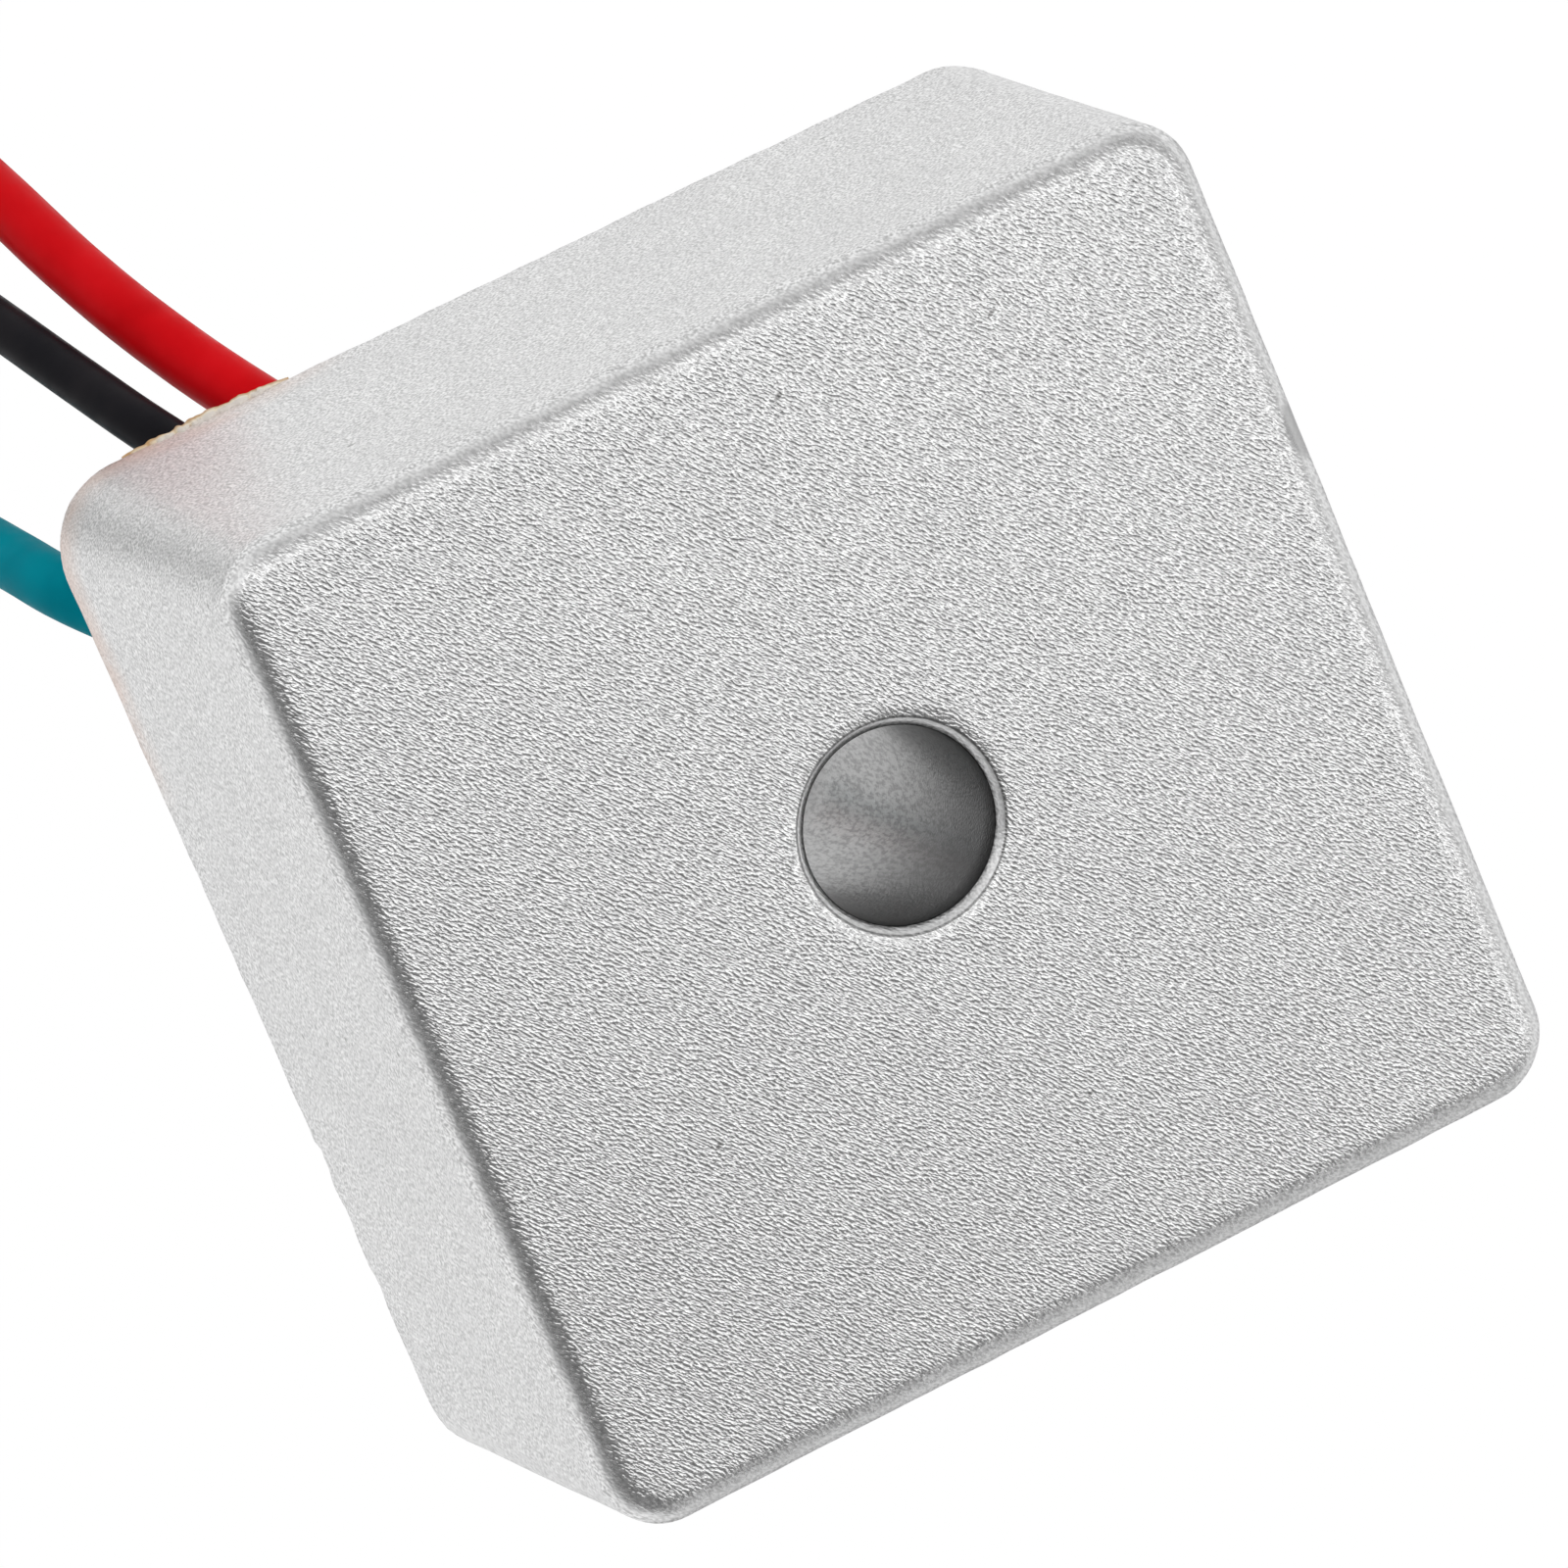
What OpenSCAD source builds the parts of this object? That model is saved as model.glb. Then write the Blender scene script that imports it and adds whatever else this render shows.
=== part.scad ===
// Potted voltage regulator rectifier: a drafted square cast cup with a bored centre post, its circuit
// sealed in potting compound, and three leads that hang from the potting and end in ring terminals.
// Millimetres. The mounting face is the plane z = 0 and looks up, the bore runs along Z, and the
// open, potted side looks down.

/* [Housing] */
// Width across the open rim
rim_w = 50; // [45:0.5:60]
// How far each wall leans in between the rim and the foot of the face's rounded edge
wall_lean = 1; // [0.5:0.25:2]
// Depth from the mounting face to the rim
depth = 25; // [23:0.5:30]
// Radius of the upright corners at the mounting face
corner_r = 3; // [2:0.25:5]
// Rounding of the edge around the mounting face
edge_r = 1; // [0.4:0.1:1.5]
// Thickness of the wall at the rim
wall_t = 2.4; // [1.6:0.1:3]
// Thickness of the wall behind the mounting face
floor_t = 4; // [2.5:0.25:5]
// Draft of the cavity's walls, in degrees
cavity_draft = 1; // [0.5:0.25:2]
// Radius of the cavity's upright corners at its floor
cavity_corner_r = 2; // [1.5:0.25:4]
// Rounding between the cavity's floor and its walls
cavity_edge_r = 0.8; // [0.4:0.1:1.2]

/* [Mounting bore] */
// Diameter of the through bore
bore_d = 9; // [6:0.5:10]
// Width of the chamfer around the bore in the mounting face
bore_chamfer = 0.35; // [0.2:0.05:0.8]
// Diameter of the centre post at the rim
post_d = 14; // [12.5:0.5:15]
// Draft of the centre post, in degrees
post_draft = 1.5; // [0.5:0.25:2]

/* [Potting] */
// How far the potting stays inside the rim
potting_recess = 0.5; // [0.2:0.1:1.5]
// Radius of the gob of potting round the black lead, where it lies on the rim
gob_r = 5.3; // [4:0.1:6.5]
// Height of the gob over the rim
gob_h = 2.4; // [1.2:0.1:3]

/* [Circuit board] */
// Thickness of the board
board_t = 1.6; // [1:0.2:2]
// Free height between the power packages and the board
board_gap = 4; // [3:0.25:5]
// Room between the board's edge and the cavity's wall
board_clearance = 1.3; // [0.5:0.1:2]
// Room between the board and the centre post
post_clearance = 1; // [0.5:0.1:1.5]
// Room between a leg and its hole, which solder fills
hole_clearance = 0.15; // [0.1:0.05:0.3]
// Width of the solder fillet around a hole
fillet_w = 0.35; // [0.2:0.05:0.5]
// Height of the solder fillet under the board
fillet_h = 0.9; // [0.5:0.1:1.2]
// How far legs reach out under the board
leg_reach = 1.2; // [0.6:0.1:1.6]

/* [Power packages] */
// Thickness of the pad between a tab and the housing
pad_t = 0.5; // [0.2:0.1:1]
// Room from the pad's edge to the tab's edge
pad_margin = 0.8; // [0.4:0.1:1.2]
// Width of a package
package_w = 10.2; // [9:0.2:10.6]
// Length of the moulded body
package_l = 9.2; // [8:0.2:10]
// Thickness of a package with its tab
package_t = 4.5; // [3.5:0.25:5]
// Length of the tab past the moulded body
tab_l = 6.2; // [5:0.2:7]
// Thickness of the tab
tab_t = 1.3; // [0.8:0.1:1.5]
// Diameter of the hole in the tab
tab_hole_d = 3.6; // [3:0.1:4]
// Spacing of the legs
leg_pitch = 2.54; // [2.3:0.02:3]
// Width of a leg
leg_w = 0.8; // [0.6:0.05:1]
// Thickness of a leg
leg_t = 0.5; // [0.4:0.05:0.6]
// Distance from the moulded body to the bend of its legs
leg_out = 2.5; // [1.5:0.1:3]

/* [Small parts] */
// Body diameter of a rectifier diode
diode_d = 5.3; // [4:0.1:5.6]
// Body length of a rectifier diode
diode_l = 9.5; // [8:0.1:10]
// Wire diameter of a rectifier diode
diode_wire_d = 1.3; // [0.8:0.1:1.3]
// Hole spacing of a rectifier diode
diode_pitch = 13; // [12.5:0.1:14]
// Body diameter of a resistor
resistor_d = 2.4; // [1.8:0.1:2.5]
// Body length of a resistor
resistor_l = 6.3; // [5:0.1:7]
// Wire diameter of the resistors and the zener diode
wire_d = 0.7; // [0.5:0.05:0.8]
// Hole spacing of the resistors
resistor_pitch = 10.2; // [9.6:0.1:11]
// Distance from one resistor to the next
resistor_step = 3; // [2.8:0.1:3.2]
// Body diameter of the zener diode
zener_d = 2.7; // [2:0.1:3]
// Body length of the zener diode
zener_l = 5.2; // [4:0.1:6]
// Hole spacing of the zener diode
zener_pitch = 8; // [7.8:0.1:9]
// Height of axial bodies over the board
axial_lift = 0.5; // [0.3:0.1:1]
// Diameter of the transistor's body
transistor_d = 4.8; // [4.2:0.1:5.2]
// Height of the transistor's body
transistor_h = 4.8; // [4:0.1:5]
// Height of the transistor's body over the board
transistor_lift = 2; // [1:0.1:2.5]
// Hole spacing of the transistor
transistor_pitch = 2; // [1.8:0.1:2.3]
// Diameter of the capacitor
capacitor_d = 5; // [4:0.1:5.4]
// Height of the capacitor
capacitor_h = 7; // [5:0.1:7.5]
// Hole spacing of the capacitor
capacitor_pitch = 2; // [1.8:0.1:2.5]

/* [Leads] */
// Diameter of the red and teal leads
main_lead_d = 2.9; // [2.4:0.1:3.2]
// Diameter of the black lead
sense_lead_d = 2.3; // [1.9:0.1:2.6]
// Diameter of the stripped core of the red and teal leads
main_core_d = 1.5; // [1.1:0.1:1.7]
// Diameter of the stripped core of the black lead
sense_core_d = 1.2; // [0.8:0.1:1.4]

/* [Ring terminals] */
// Diameter of the stud hole
eye_d = 6.4; // [4.3:0.1:7]
// Width of the metal around the stud hole
eye_w = 2.6; // [1.8:0.1:3.5]
// Thickness of the terminal's sheet
terminal_t = 0.8; // [0.6:0.1:1.2]
// Diameter of the crimped barrel
barrel_d = 4; // [3.4:0.1:4.6]
// Length of the crimped barrel
barrel_l = 6; // [4:0.25:8]
// Width of the neck between barrel and eye
neck_w = 4.4; // [3:0.1:6]
// Length of the neck between barrel and eye
neck_l = 3; // [2:0.25:5]
// Depth of the dent that the crimping tool leaves
dent_depth = 0.6; // [0.3:0.1:1]
// Thickness of the shrink sleeve
sleeve_t = 0.5; // [0.3:0.1:0.8]
// How far the sleeve reaches up the lead
sleeve_up = 6; // [4:0.5:7]
// Bare end of the barrel below the sleeve
sleeve_short = 1; // [0.5:0.25:2]
// Room between the sleeve and the lead
sleeve_clearance = 0.1; // [0.05:0.05:0.3]

/* [Hidden] */
$fn = 48;
over = 1;
face_half = rim_w / 2 - wall_lean;
rim_corner_r = corner_r + wall_lean;

// Lengths to a ten-thousandth, so that neighbouring surfaces meet without slivers
function snap(x) = round(x * 10000) / 10000;

// Cavity: its half width at a height z, worked back from the rim
function cavity_half(z) = snap(rim_w / 2 - wall_t - tan(cavity_draft) * (depth + z));
cavity_h = depth - floor_t + over;

// Centre post: its radius at a height z
function post_r(z) = post_d / 2 + tan(post_draft) * (depth + z);

// Levels of the circuit, from the cavity's floor down
tab_z = -floor_t - pad_t;
board_z = tab_z - package_t - board_gap;
board_half = cavity_half(board_z) - board_clearance;
board_hole_r = post_r(board_z) + post_clearance;
board_corner_r = 2;

// Power packages stand midway between post and wall, their tabs towards +Y and their legs towards -Y
package_x = snap((post_r(tab_z) + cavity_half(tab_z)) / 2);
tab_room = 6;
package_y = board_half - tab_room - package_l - tab_l;
package_edge = 0.5;
tab_hole_inset = 3;
leg_drop = 1.4;
leg_level = tab_t + leg_drop;

// Places of the small parts on the board: diodes along +Y, the rest along -Y
diode_inset = 4.4;
diode_edge = 3.1;
diode_x = board_half - diode_edge - diode_pitch / 2;
row_inset = 1.9;
hole_inset = 1.8;
part_gap = 2.5;
body_gap = 1.6;
second_row = 7.4;
bend_r = 0.9;
resistor_x = hole_inset + resistor_pitch / 2 - board_half;
function resistor_at(row) = [resistor_x, row_inset + row * resistor_step - board_half];
zener_at = [resistor_x + (resistor_pitch + zener_pitch) / 2 + part_gap, row_inset - board_half];
transistor_at = [-2, second_row - board_half];
capacitor_at = [transistor_at.x + (transistor_d + capacitor_d) / 2 + body_gap, second_row - board_half];
transistor_leg_d = 0.6;
transistor_flat_y = 1.45;
capacitor_leg_d = 0.6;
core_reach = 0.4;
leg_embed = 1;

// Routes of the leads: from the stripped end in the potting, out by the corner and down. They are written
// for this rim and depth, and past their first two points they follow the rim's corner. The exit point is
// the first one outside the potting.
lead_sides = 8;
exit_point = 3;
route_rim = 50;
route_depth = 25;
corner_shift = (rim_w - route_rim) / 2;
function fitted(points) = [for (i = [0:len(points) - 1])
    points[i] + [corner_shift, -corner_shift, i < 2 ? 0 : route_depth - depth]];
red_route = fitted([
    [9.5, -18.5, -17], [9.5, -18.5, -19], [9.9, -19.1, -22], [10.9, -20.6, -25.5], [12.9, -24, -31],
    [14.4, -27.2, -36], [15.5, -30.5, -41.5], [16.3, -34.1, -47.5], [16.9, -37.2, -54], [17.3, -39.6, -61],
    [17.6, -41.2, -68], [17.8, -42, -75], [18, -42.3, -82], [18.2, -42.2, -89], [18.5, -41.9, -96],
    [18.8, -41.5, -103], [19, -41.2, -110], [19.1, -41, -117], [19, -41, -124], [18.8, -41.1, -131],
    [18.6, -41.3, -138], [18.5, -41.5, -145], [18.5, -41.5, -152], [18.5, -41.5, -160]
]);
black_route = fitted([
    [14.2, -18.8, -17], [14.2, -18.8, -19], [14.5, -19.3, -22], [15.4, -20.8, -25.5], [17.3, -24.1, -31],
    [18.5, -26.8, -36.5], [19.7, -29.7, -42.5], [20.7, -32.3, -49], [21.5, -34.4, -55.5], [22.1, -35.9, -62],
    [22.6, -36.8, -69], [23, -37.1, -76], [23.4, -37, -83], [23.8, -36.6, -90], [24.2, -36, -97],
    [24.5, -35.4, -104], [24.7, -34.9, -111], [24.7, -34.6, -118], [24.6, -34.5, -125], [24.5, -34.5, -132],
    [24.5, -34.5, -139], [24.5, -34.5, -146]
]);
teal_route = fitted([
    [18.9, -13.7, -17], [18.9, -13.7, -19], [19.4, -14.2, -22], [20.7, -15.6, -25.5], [22.1, -17.1, -29.5],
    [23.4, -18.6, -34], [23.9, -19.6, -40], [24.4, -20.6, -46.5], [25.1, -21.5, -53], [25.9, -22.2, -60],
    [26.8, -22.7, -67], [27.7, -23, -74], [28.5, -23.1, -81], [29.1, -23.1, -88], [29.4, -23, -95],
    [29.5, -22.9, -102], [29.4, -22.8, -109], [29.2, -22.8, -116], [29, -22.9, -123], [28.8, -23, -130],
    [28.7, -23, -137], [28.7, -23, -144], [28.7, -23, -152]
]);

// Legs through the board: each is a place and a diameter
function axial_legs(at, pitch, d) = [for (side = [-1, 1]) [at.x + side * pitch / 2, at.y, d]];
function row_legs(at, pitch, count, d) =
    [for (i = [0:count - 1]) [at.x + (i - (count - 1) / 2) * pitch, at.y, d]];
round_legs = concat(
    axial_legs([-diode_x, board_half - diode_inset], diode_pitch, diode_wire_d),
    axial_legs([diode_x, board_half - diode_inset], diode_pitch, diode_wire_d),
    [for (row = [0:3]) each axial_legs(resistor_at(row), resistor_pitch, wire_d)],
    axial_legs(zener_at, zener_pitch, wire_d),
    row_legs(transistor_at, transistor_pitch, 3, transistor_leg_d),
    row_legs(capacitor_at, capacitor_pitch, 2, capacitor_leg_d),
    [[red_route[0].x, red_route[0].y, main_core_d]],
    [[black_route[0].x, black_route[0].y, sense_core_d]],
    [[teal_route[0].x, teal_route[0].y, main_core_d]]
);
flat_leg_y = package_y - leg_out - leg_t / 2;
flat_leg_d = norm([leg_w, leg_t]);
flat_legs = [for (side = [-1, 1]) each row_legs([side * package_x, flat_leg_y], leg_pitch, 3, flat_leg_d)];

// Half of a drafted section: flat top at z = 0, rounded top edge, wall spreading to low_half
module half_section(top_half, low_half, h, round_r) {
    difference() {
        polygon([[0, 0], [top_half, 0], [top_half, -round_r], [low_half, -h], [0, -h]]);
        translate([top_half - round_r, -round_r]) difference() {
            square(round_r + over);
            circle(round_r);
        }
    }
}

// Drafted square block with rounded corners and a rounded top edge, standing down from z = 0
module drafted_block(top_half, low_half, h, round_corner, round_edge) {
    c = top_half - round_corner;
    for (turn = [0:90:270])
        rotate([90, 0, turn]) linear_extrude(2 * c, center = true)
            half_section(top_half, low_half, h, round_edge);
    for (x = [-c, c], y = [-c, c])
        translate([x, y, 0]) rotate_extrude() half_section(round_corner, low_half - c, h, round_edge);
}

module rounded_square(half_w, r) {
    square([2 * half_w, 2 * (half_w - r)], center = true);
    square([2 * (half_w - r), 2 * half_w], center = true);
    for (x = [-1, 1], y = [-1, 1]) translate([x, y] * (half_w - r)) circle(r);
}

// Space between walls and post, from the cavity's floor down past the rim
module cavity() {
    difference() {
        translate([0, 0, -floor_t]) drafted_block(
            cavity_half(-floor_t), cavity_half(-depth - over), cavity_h, cavity_corner_r, cavity_edge_r
        );
        translate([0, 0, -depth - over])
            cylinder(h = depth - floor_t + 2 * over, r1 = post_r(-depth - over), r2 = post_r(over - floor_t));
    }
}

module housing() {
    color("silver") difference() {
        drafted_block(face_half, rim_w / 2, depth, corner_r, edge_r);
        cavity();
        translate([0, 0, -depth - over]) cylinder(d = bore_d, h = depth + 2 * over);
        translate([0, 0, -bore_chamfer])
            cylinder(h = 2 * bore_chamfer, d1 = bore_d, d2 = bore_d + 4 * bore_chamfer);
    }
}

// Gob of potting that ran over the rim where the black lead leaves
module gob() {
    ball_r = (gob_r * gob_r + gob_h * gob_h) / 2 / gob_h;
    middle = (black_route[exit_point] + black_route[exit_point + 1]) / 2;
    intersection() {
        translate([middle.x, middle.y, ball_r - gob_h - depth]) sphere(ball_r);
        union() {
            translate([0, 0, -depth - gob_h - over])
                linear_extrude(gob_h + over) rounded_square(rim_w / 2, rim_corner_r);
            intersection() {
                cavity();
                translate([0, 0, -depth]) linear_extrude(2 * potting_recess) square(rim_w, center = true);
            }
        }
    }
}

module potting_compound() {
    color("wheat") difference() {
        union() {
            difference() {
                cavity();
                translate([-rim_w, -rim_w, potting_recess - depth - rim_w])
                    cube([2 * rim_w, 2 * rim_w, rim_w]);
            }
            gob();
        }
        circuit_board();
        solder_joints();
        thermal_pad_a();
        thermal_pad_b();
        thyristor_a_body();
        thyristor_b_body();
        thyristor_a_frame();
        thyristor_b_frame();
        rectifier_diode_a();
        rectifier_diode_b();
        zener_diode();
        control_transistor();
        gate_resistor_a();
        gate_resistor_b();
        divider_resistor_upper();
        divider_resistor_lower();
        filter_capacitor();
        red_core();
        black_core();
        teal_core();
        red_lead();
        black_lead();
        teal_lead();
    }
}

module circuit_board() {
    color("darkgreen") translate([0, 0, board_z - board_t]) difference() {
        linear_extrude(board_t) rounded_square(board_half, board_corner_r);
        translate([0, 0, -over]) cylinder(r = board_hole_r, h = board_t + 2 * over);
        for (leg = concat(round_legs, flat_legs))
            translate([leg.x, leg.y, -over]) cylinder(d = leg.z + 2 * hole_clearance, h = board_t + 2 * over);
    }
}

// Solder that fills a hole and makes a fillet under the board
module solder_joint(leg_d) {
    hole_r = leg_d / 2 + hole_clearance;
    translate([0, 0, board_z]) rotate_extrude() polygon([
        [0, 0], [hole_r, 0], [hole_r, -board_t], [hole_r + fillet_w, -board_t],
        [leg_d / 2, -board_t - fillet_h], [0, -board_t - fillet_h]
    ]);
}

module solder_joints() {
    leg_l = board_t + 2 * leg_reach + over;
    color("lightgray") {
        for (leg = round_legs) difference() {
            translate([leg.x, leg.y, 0]) solder_joint(leg.z);
            translate([leg.x, leg.y, board_z + over - leg_l]) cylinder(d = leg.z, h = leg_l);
        }
        for (leg = flat_legs) difference() {
            translate([leg.x, leg.y, 0]) solder_joint(leg.z);
            translate([leg.x - leg_w / 2, leg.y - leg_t / 2, board_z + over - leg_l])
                cube([leg_w, leg_t, leg_l]);
        }
    }
}

module thermal_pad(side) {
    color("lightgrey")
        translate([side * package_x - package_w / 2 - pad_margin, package_y - pad_margin, tab_z])
            cube([package_w + 2 * pad_margin, package_l + tab_l + 2 * pad_margin, pad_t]);
}

module thermal_pad_a() { thermal_pad(-1); }
module thermal_pad_b() { thermal_pad(1); }

// Moulded body under the tab, its lower edges chamfered
module thyristor_body(side) {
    low = package_t - tab_t;
    half = package_w / 2;
    color("dimgray") translate([side * package_x, package_y + package_l, tab_z - tab_t]) rotate([90, 0, 0])
        linear_extrude(package_l) polygon([
            [-half, 0], [half, 0], [half, package_edge - low], [half - package_edge, -low],
            [package_edge - half, -low], [-half, package_edge - low]
        ]);
}

module thyristor_a_body() { thyristor_body(-1); }
module thyristor_b_body() { thyristor_body(1); }

// Flat leg that leaves the body, bends down and passes the board
module flat_leg() {
    foot = board_z - board_t - leg_reach - tab_z;
    rotate([90, 0, 90]) linear_extrude(leg_w, center = true) polygon([
        [0, -leg_level], [-leg_out, -leg_level], [-leg_out - leg_t, -leg_level - leg_t],
        [-leg_out - leg_t, foot], [-leg_out, foot], [-leg_out, -leg_level - leg_t], [0, -leg_level - leg_t]
    ]);
}

module thyristor_frame(side) {
    color("gainsboro") translate([side * package_x, package_y, tab_z]) {
        difference() {
            translate([-package_w / 2, 0, -tab_t]) cube([package_w, package_l + tab_l, tab_t]);
            translate([0, package_l + tab_l - tab_hole_inset, -tab_t - over])
                cylinder(d = tab_hole_d, h = tab_t + 2 * over);
        }
        for (i = [-1:1]) translate([i * leg_pitch, 0, 0]) flat_leg();
    }
}

module thyristor_a_frame() { thyristor_frame(-1); }
module thyristor_b_frame() { thyristor_frame(1); }

// Axial part along X: a body with softened ends and a wire bent down to the board at each end
module axial_part(at, body_d, body_l, leg_d, pitch) {
    soft = body_d / 6;
    height = axial_lift + body_d / 2;
    foot = board_t + leg_reach;
    translate([at.x, at.y, board_z]) {
        translate([-body_l / 2, 0, height]) rotate([0, 90, 0]) rotate_extrude() polygon([
            [0, 0], [body_d / 2 - soft, 0], [body_d / 2, soft], [body_d / 2, body_l - soft],
            [body_d / 2 - soft, body_l], [0, body_l]
        ]);
        for (side = [0, 1]) mirror([side, 0, 0]) {
            translate([body_l / 4, 0, height]) rotate([0, 90, 0])
                cylinder(d = leg_d, h = pitch / 2 - bend_r - body_l / 4);
            translate([pitch / 2 - bend_r, 0, height - bend_r]) rotate([90, 0, 0])
                rotate_extrude(angle = 90) translate([bend_r, 0]) circle(d = leg_d);
            translate([pitch / 2, 0, -foot]) cylinder(d = leg_d, h = foot + height - bend_r);
        }
    }
}

module rectifier_diode(side) {
    color("black")
        axial_part([side * diode_x, board_half - diode_inset], diode_d, diode_l, diode_wire_d, diode_pitch);
}

module rectifier_diode_a() { rectifier_diode(-1); }
module rectifier_diode_b() { rectifier_diode(1); }
module zener_diode() { color("darkorange") axial_part(zener_at, zener_d, zener_l, wire_d, zener_pitch); }
module resistor(row) {
    color("tan") axial_part(resistor_at(row), resistor_d, resistor_l, wire_d, resistor_pitch);
}

module gate_resistor_a() { resistor(3); }
module gate_resistor_b() { resistor(2); }
module divider_resistor_upper() { resistor(1); }
module divider_resistor_lower() { resistor(0); }

module straight_legs(at, pitch, count, leg_d, lift) {
    foot = board_t + leg_reach;
    for (leg = row_legs(at, pitch, count, leg_d))
        translate([leg.x, leg.y, board_z - foot]) cylinder(d = leg_d, h = foot + lift);
}

// Moulded body with one flat side, lifted off the board on its legs
module control_transistor() {
    color("dimgray") {
        translate([transistor_at.x, transistor_at.y, board_z + transistor_lift]) difference() {
            cylinder(d = transistor_d, h = transistor_h);
            translate([-transistor_d, transistor_flat_y, -over])
                cube([2 * transistor_d, transistor_d, transistor_h + 2 * over]);
        }
        straight_legs(transistor_at, transistor_pitch, 3, transistor_leg_d, transistor_lift + leg_embed);
    }
}

// Can with a crimped groove near its foot, standing on the board
module filter_capacitor() {
    r = capacitor_d / 2;
    groove = r / 10;
    color("navy") {
        translate([capacitor_at.x, capacitor_at.y, board_z]) rotate_extrude() polygon([
            [0, 0], [r, 0], [r, r / 2], [r - groove, r / 2 + groove], [r, r / 2 + 2 * groove],
            [r, capacitor_h - groove], [r - groove, capacitor_h], [0, capacitor_h]
        ]);
        straight_legs(capacitor_at, capacitor_pitch, 2, capacitor_leg_d, leg_embed);
    }
}

// Stripped end of a lead, from where its insulation starts up through the board
module core(route, d) {
    start = route[0];
    color("peru") translate(start) cylinder(d = d, h = board_z + core_reach - start.z);
}

module red_core() { core(red_route, main_core_d); }
module black_core() { core(black_route, sense_core_d); }
module teal_core() { core(teal_route, main_core_d); }

// Tube swept along a route: one ring of points square to the route at each of its points
function unit(v) = v / norm(v);
function heading(route, i) = unit(route[min(i + 1, len(route) - 1)] - route[max(i - 1, 0)]);
function ring(centre, along, r) =
    let (u = unit(cross(along, [1, 0, 0])), v = cross(along, u))
    [for (k = [0:lead_sides - 1])
        let (a = 360 * (k + 0.5) / lead_sides) centre + r * (cos(a) * u + sin(a) * v)];

module tube(route, d) {
    last = len(route) - 1;
    points = [for (i = [0:last]) each ring(route[i], heading(route, i), d / 2)];
    sides = [for (i = [0:last - 1], k = [0:lead_sides - 1])
        let (a = i * lead_sides + k, b = i * lead_sides + (k + 1) % lead_sides)
        [a, a + lead_sides, b + lead_sides, b]];
    first_cap = [for (k = [0:lead_sides - 1]) k];
    last_cap = [for (k = [lead_sides - 1:-1:0]) last * lead_sides + k];
    polyhedron(points, concat(sides, [first_cap, last_cap]), convexity = 8);
}

module red_lead() { color("crimson") tube(red_route, main_lead_d); }
module black_lead() { color([0.12, 0.12, 0.13]) tube(black_route, sense_lead_d); }
module teal_lead() { color("teal") tube(teal_route, main_lead_d); }

// Ring terminal below the end of a lead: crimped barrel, neck and eye, its stud hole along Y
module terminal(route) {
    eye_r = eye_d / 2 + eye_w;
    eye_z = -barrel_l - neck_l - eye_r;
    color("lightgray") translate(route[len(route) - 1]) difference() {
        union() {
            difference() {
                translate([0, 0, -barrel_l]) cylinder(d = barrel_d, h = barrel_l);
                translate([0, barrel_d - dent_depth, -barrel_l / 2]) rotate([0, 90, 0])
                    cylinder(d = barrel_d, h = 2 * barrel_d, center = true);
            }
            translate([-neck_w / 2, -terminal_t / 2, eye_z])
                cube([neck_w, terminal_t, eye_r + neck_l + over]);
            translate([0, 0, eye_z]) rotate([90, 0, 0]) cylinder(r = eye_r, h = terminal_t, center = true);
        }
        translate([0, 0, eye_z]) rotate([90, 0, 0])
            cylinder(d = eye_d, h = terminal_t + 2 * over, center = true);
    }
}

module red_terminal() { terminal(red_route); }
module black_terminal() { terminal(black_route); }
module teal_terminal() { terminal(teal_route); }

// Shrink sleeve over the crimp and the end of the lead's insulation
module sleeve(route, lead_d) {
    reach = barrel_l - sleeve_short;
    color([0.1, 0.1, 0.1]) translate(route[len(route) - 1]) difference() {
        translate([0, 0, -reach]) cylinder(d = barrel_d + 2 * sleeve_t, h = reach + sleeve_up);
        translate([0, 0, -reach - over]) cylinder(d = barrel_d, h = reach + over);
        cylinder(d = lead_d + 2 * sleeve_clearance, h = sleeve_up + over);
    }
}

module red_sleeve() { sleeve(red_route, main_lead_d); }
module black_sleeve() { sleeve(black_route, sense_lead_d); }
module teal_sleeve() { sleeve(teal_route, main_lead_d); }

housing();
potting_compound();
circuit_board();
solder_joints();
thermal_pad_a();
thermal_pad_b();
thyristor_a_body();
thyristor_b_body();
thyristor_a_frame();
thyristor_b_frame();
rectifier_diode_a();
rectifier_diode_b();
zener_diode();
control_transistor();
gate_resistor_a();
gate_resistor_b();
divider_resistor_upper();
divider_resistor_lower();
filter_capacitor();
red_core();
black_core();
teal_core();
red_lead();
black_lead();
teal_lead();
red_terminal();
black_terminal();
teal_terminal();
red_sleeve();
black_sleeve();
teal_sleeve();
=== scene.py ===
"""Looks of a potted voltage regulator rectifier, built around its CAD frame."""

import math

import bpy
from mathutils import Matrix, Vector, noise


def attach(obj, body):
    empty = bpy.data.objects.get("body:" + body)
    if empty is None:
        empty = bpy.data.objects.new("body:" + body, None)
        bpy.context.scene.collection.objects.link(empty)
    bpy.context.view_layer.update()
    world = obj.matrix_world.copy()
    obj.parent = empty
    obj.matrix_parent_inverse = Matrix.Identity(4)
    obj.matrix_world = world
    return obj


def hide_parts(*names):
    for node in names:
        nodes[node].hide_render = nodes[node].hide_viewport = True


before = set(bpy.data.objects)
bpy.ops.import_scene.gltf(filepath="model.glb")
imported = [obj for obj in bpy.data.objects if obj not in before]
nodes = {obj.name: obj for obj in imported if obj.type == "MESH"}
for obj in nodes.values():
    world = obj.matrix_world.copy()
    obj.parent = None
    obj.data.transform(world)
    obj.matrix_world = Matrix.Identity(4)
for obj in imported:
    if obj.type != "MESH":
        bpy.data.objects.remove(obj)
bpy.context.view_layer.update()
scene = bpy.context.scene
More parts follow.
